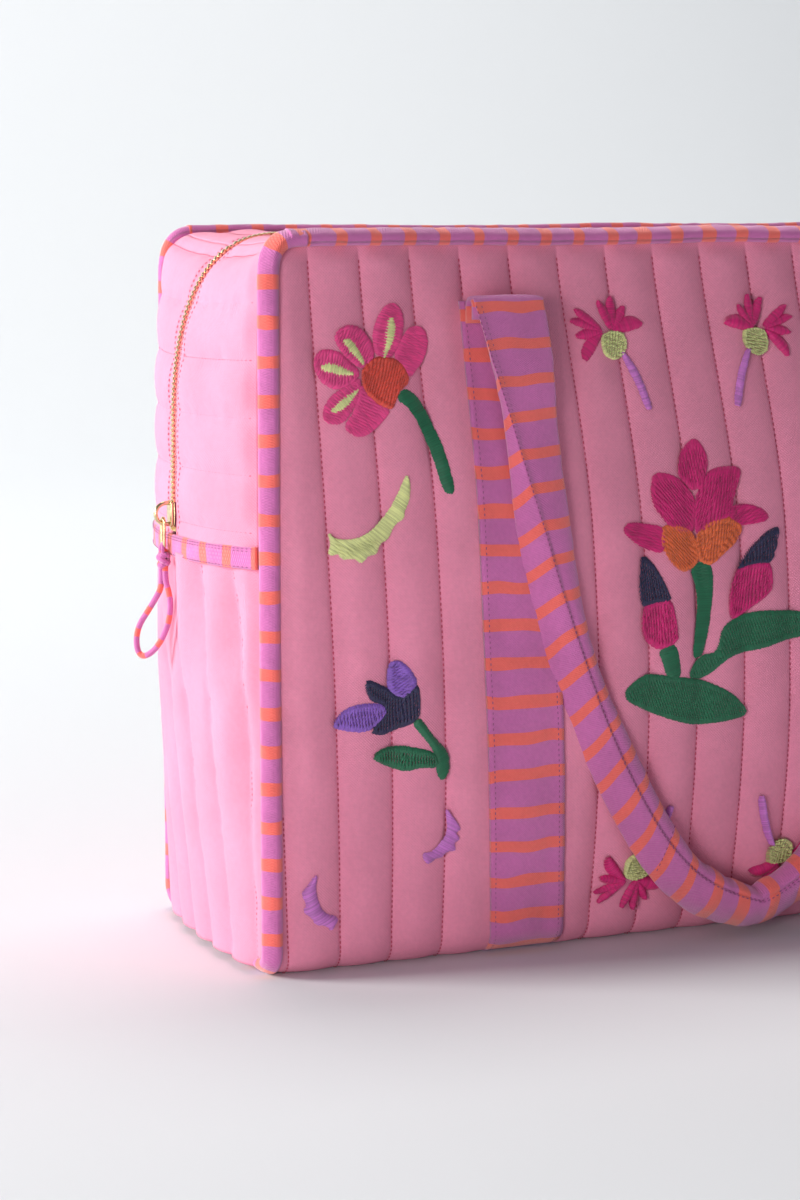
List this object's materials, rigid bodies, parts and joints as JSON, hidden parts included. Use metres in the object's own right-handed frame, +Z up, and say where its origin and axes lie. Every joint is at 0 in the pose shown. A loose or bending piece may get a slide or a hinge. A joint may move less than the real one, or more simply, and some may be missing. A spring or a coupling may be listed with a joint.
{
  "type": "knitting bag",
  "caption": "Large boxy quilted fabric craft bag with a zipped top, bound seams, two sewn strap handles and a looped zip pull.",
  "frame": {"origin": "middle of the underside, on the surface the bag stands on", "axes": "+X along the bag's length, -Y the front, +Z up"},
  "size_m": [0.5276, 0.218, 0.35],
  "materials": {
    "quilt": "quilted cotton, matt",
    "quilt_strip": "quilted cotton, matt",
    "lining": "plain woven cotton",
    "striped": "brushed cotton in two colours",
    "tape": "woven zip tape",
    "metal": "bright gold-coloured metal"
  },
  "bodies": {
    "bag": {"left_end_panel": "quilt", "left_end_front_strip": "quilt_strip", "left_end_rear_strip": "quilt_strip", "left_end_band": "striped", "left_end_tape": "tape", "left_end_chain": "metal", "left_zip_stop": "metal", "left_binding": "striped", "left_strap": "striped", "right_end_panel": "quilt", "right_end_front_strip": "quilt_strip", "right_end_rear_strip": "quilt_strip", "right_end_band": "striped", "right_end_tape": "tape", "right_end_chain": "metal", "right_zip_stop": "metal", "right_binding": "striped", "right_strap": "striped", "front_top_binding": "striped", "rear_top_binding": "striped", "quilted_wrap": "quilt", "lining": "lining"},
    "front_mouth": {"front_zip_strip": "quilt_strip", "front_zip_tape": "tape", "front_zip_chain": "metal"},
    "rear_mouth": {"rear_zip_strip": "quilt_strip", "rear_zip_tape": "tape", "rear_zip_chain": "metal"},
    "front_handle": {"front_handle": "striped"},
    "rear_handle": {"rear_handle": "striped"},
    "slider": {"slider_body": "metal", "slider_bail": "metal"},
    "pull": {"pull_link": "metal", "pull_knot": "striped", "pull_loop": "striped"}
  },
  "joints": [
    {"name": "front_handle_swing", "type": "hinge", "parent": "bag", "child": "front_handle", "pos_m": [0, -0.0815, 0.316], "axis": [-1, 0, 0], "range_deg": [0, 170]},
    {"name": "rear_handle_swing", "type": "hinge", "parent": "bag", "child": "rear_handle", "pos_m": [0, 0.0815, 0.316], "axis": [1, 0, 0], "range_deg": [0, 170]},
    {"name": "front_mouth_open", "type": "hinge", "parent": "bag", "child": "front_mouth", "pos_m": [0, -0.0641, 0.3488], "axis": [1, 0, 0], "range_deg": [0, 75]},
    {"name": "rear_mouth_open", "type": "hinge", "parent": "bag", "child": "rear_mouth", "pos_m": [0, 0.0641, 0.3488], "axis": [-1, 0, 0], "range_deg": [0, 75]},
    {"name": "zip_slide", "type": "slide", "parent": "bag", "child": "slider", "axis": [0.02, 0, 0.9998], "range_m": [0, 0.08]},
    {"name": "pull_swing", "type": "hinge", "parent": "slider", "child": "pull", "pos_m": [-0.2636, 0, 0.212], "axis": [0, 1, 0], "range_deg": [0, 150]}
  ]
}
